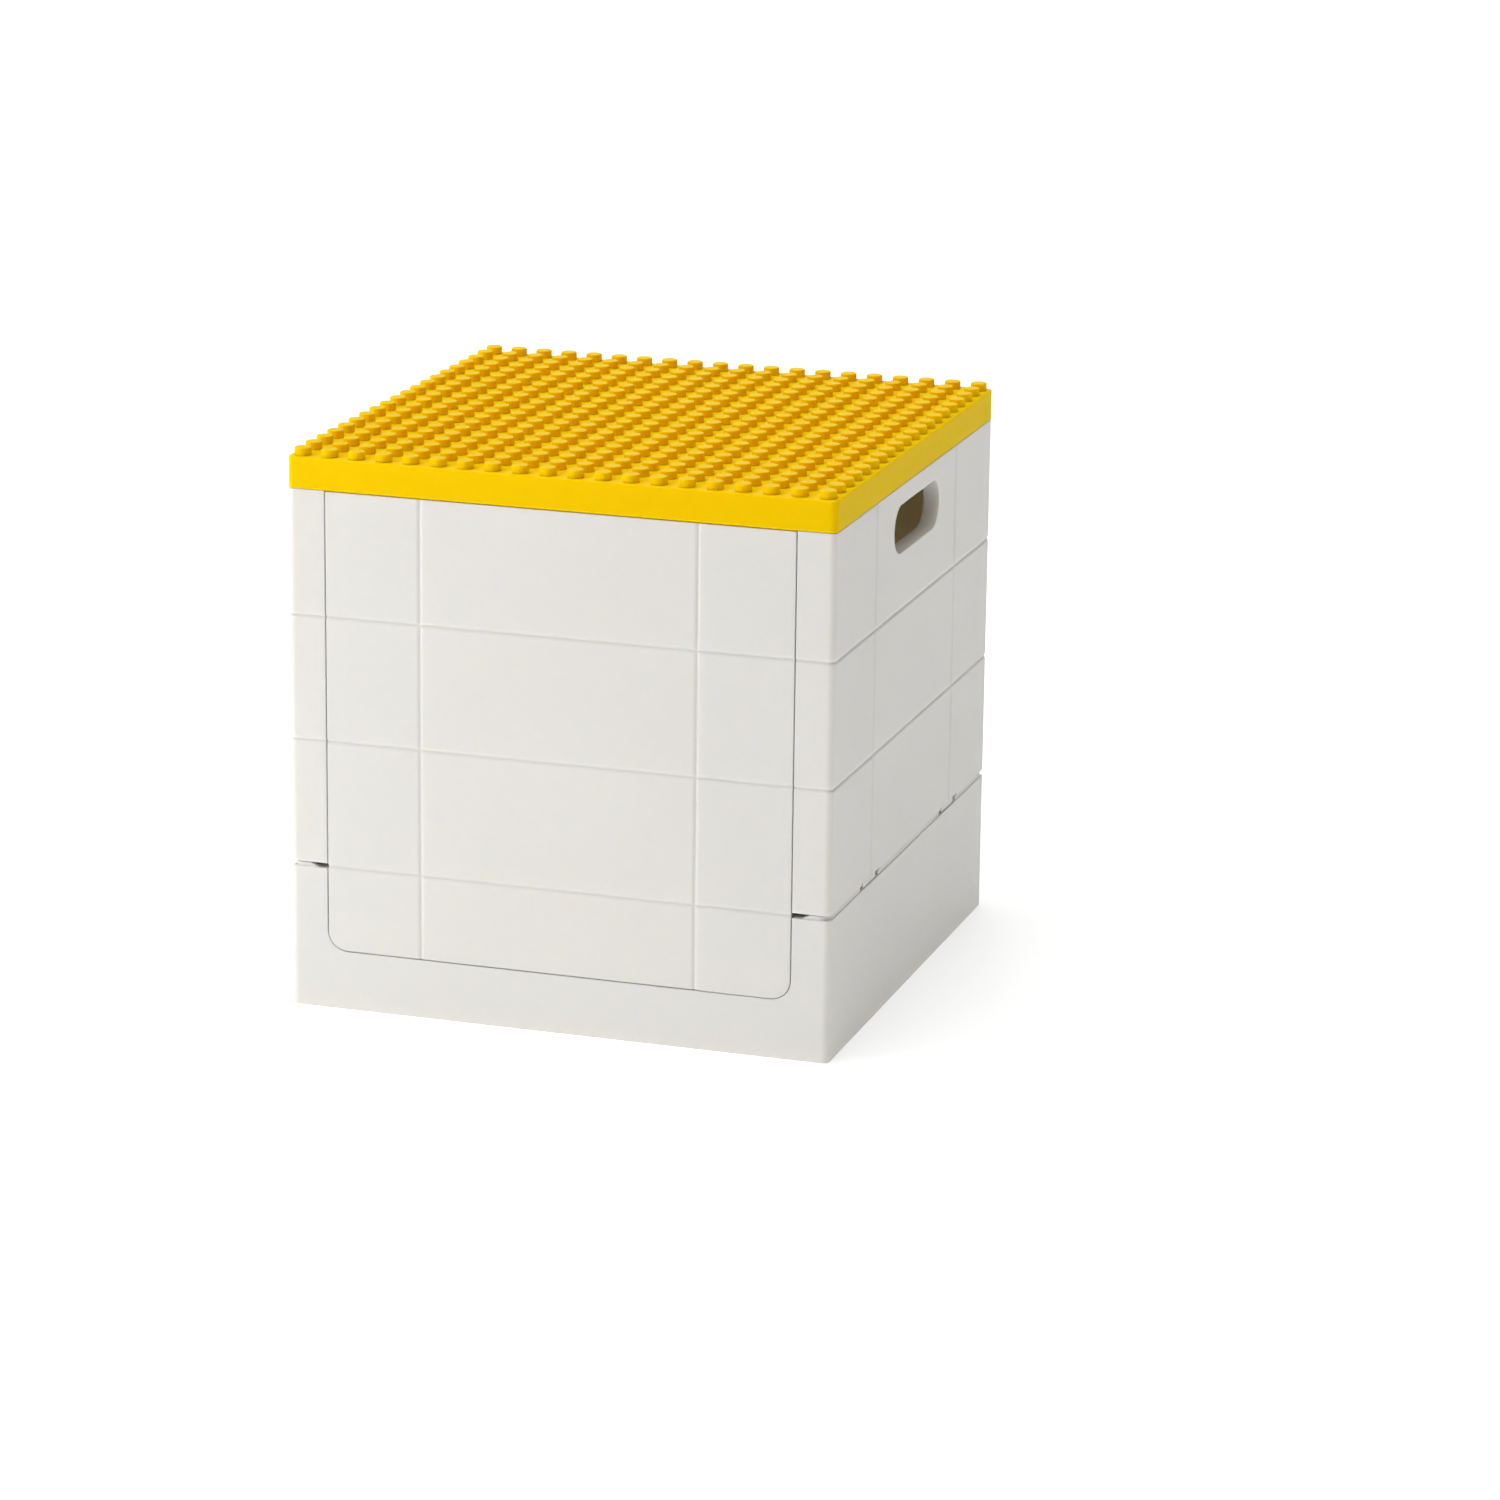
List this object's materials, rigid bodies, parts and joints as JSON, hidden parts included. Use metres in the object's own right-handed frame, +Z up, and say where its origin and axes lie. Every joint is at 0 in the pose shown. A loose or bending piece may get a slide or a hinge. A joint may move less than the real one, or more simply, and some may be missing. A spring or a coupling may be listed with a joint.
{
  "type": "storage box",
  "caption": "Folding storage box: a low tray, hinged front and back panels, end walls with handle holes, and a lift-off studded lid that fits over the rim.",
  "frame": {"origin": "centre of the tray's foot, on the ground under the middle of the box", "axes": "+Z up, -Y towards the viewer's front panel, +X to the right along the front"},
  "size_m": [0.318, 0.318, 0.3225],
  "materials": {
    "box_shell": "satin moulded plastic",
    "lid_cover": "satin moulded plastic",
    "hinge_pin": "satin moulded plastic"
  },
  "bodies": {
    "base": {"base_tray": "box_shell", "left_wall": "box_shell", "right_wall": "box_shell", "front_panel_pin_left": "hinge_pin", "front_panel_pin_right": "hinge_pin", "back_panel_pin_left": "hinge_pin", "back_panel_pin_right": "hinge_pin", "right_wall_pin_front": "hinge_pin", "right_wall_pin_rear": "hinge_pin", "left_wall_pin_front": "hinge_pin", "left_wall_pin_rear": "hinge_pin"},
    "front_panel": {"front_panel": "box_shell"},
    "back_panel": {"back_panel": "box_shell"},
    "lid": {"lid": "lid_cover"}
  },
  "joints": [
    {"name": "lid_lift", "type": "slide", "parent": "base", "child": "lid", "axis": [0, 0, 1], "range_m": [0, 0.15]},
    {"name": "front_panel_fold", "type": "hinge", "parent": "base", "child": "front_panel", "pos_m": [0, -0.1525, 0.0125], "axis": [-1, 0, 0], "range_deg": [0, 90]},
    {"name": "back_panel_fold", "type": "hinge", "parent": "base", "child": "back_panel", "pos_m": [0, 0.1525, 0.0265], "axis": [1, 0, 0], "range_deg": [0, 90]}
  ]
}
